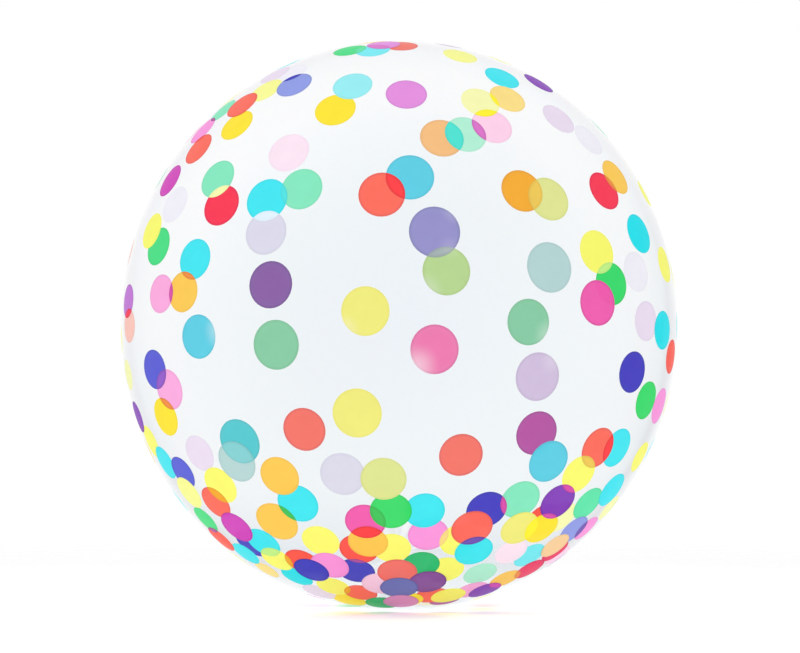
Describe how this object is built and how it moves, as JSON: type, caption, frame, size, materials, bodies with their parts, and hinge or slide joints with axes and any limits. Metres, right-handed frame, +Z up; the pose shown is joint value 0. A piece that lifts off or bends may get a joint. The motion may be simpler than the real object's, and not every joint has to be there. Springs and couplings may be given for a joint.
{
  "type": "clear confetti-dot balloon",
  "caption": "Round clear film balloon printed with coloured confetti dots, lying on a small flat spot, with its gathered neck and flat filling tail at the lower back.",
  "frame": {"origin": "on the floor, in the middle of the small flat spot that the balloon rests on", "axes": "+Z up, -Y towards the front, +Y towards the neck and tail, X is across and the balloon is symmetric about X=0"},
  "size_m": [0.6098, 0.6098, 0.623],
  "materials": {
    "clear_film": "clear stretched film, glossy",
    "tail_film": "clear flat film in two welded layers, slightly milky",
    "dot_inks": "translucent printing ink in many colours, on the film's outside"
  },
  "bodies": {
    "root": {"envelope": "clear_film", "valve_tail": "tail_film"}
  },
  "joints": []
}
